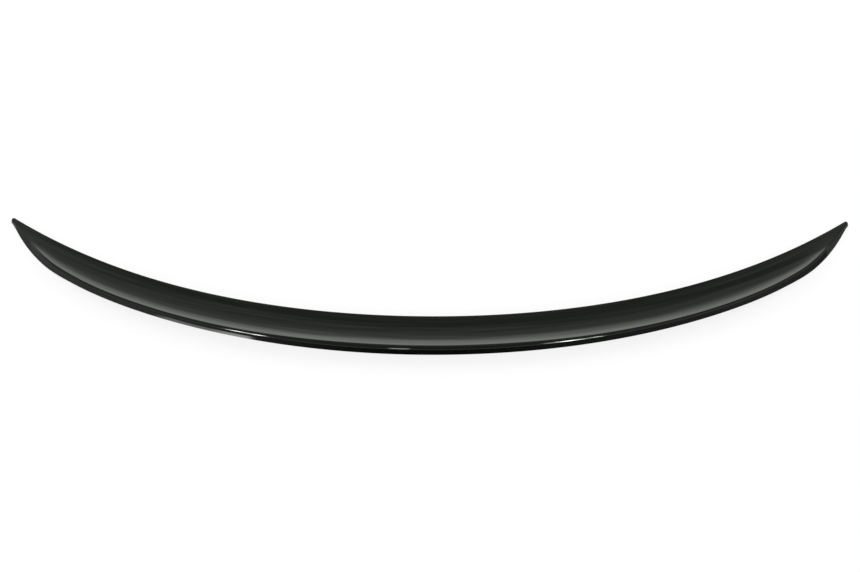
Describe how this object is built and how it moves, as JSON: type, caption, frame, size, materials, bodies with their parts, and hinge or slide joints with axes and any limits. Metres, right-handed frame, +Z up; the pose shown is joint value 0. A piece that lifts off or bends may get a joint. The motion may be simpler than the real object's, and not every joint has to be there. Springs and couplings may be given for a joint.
{
  "type": "boot lid lip spoiler",
  "caption": "Long bowed car boot spoiler, a thin gloss black wing with an upturned rear lip and pointed ends, hollow and ribbed below with bonding tape strips.",
  "frame": {"origin": "on the car's middle plane, half way between the trailing edge and the tips, at the height of the lowest point of the rear skirt and the tips", "axes": "+X across the car to the right as seen from behind, +Y to the front of the car, +Z up"},
  "size_m": [1.1996, 0.2177, 0.017],
  "materials": {
    "gloss_black": "high gloss black paint on moulded plastic",
    "foam_tape": "matt closed cell acrylic foam",
    "release_film": "thin satin release film"
  },
  "bodies": {
    "root": {"shell": "gloss_black", "front_tape_left": "foam_tape", "front_tape_right": "foam_tape", "rear_tape_left": "foam_tape", "rear_tape_right": "foam_tape", "front_liner_left": "release_film", "front_liner_right": "release_film", "rear_liner_left": "release_film", "rear_liner_right": "release_film"}
  },
  "joints": []
}
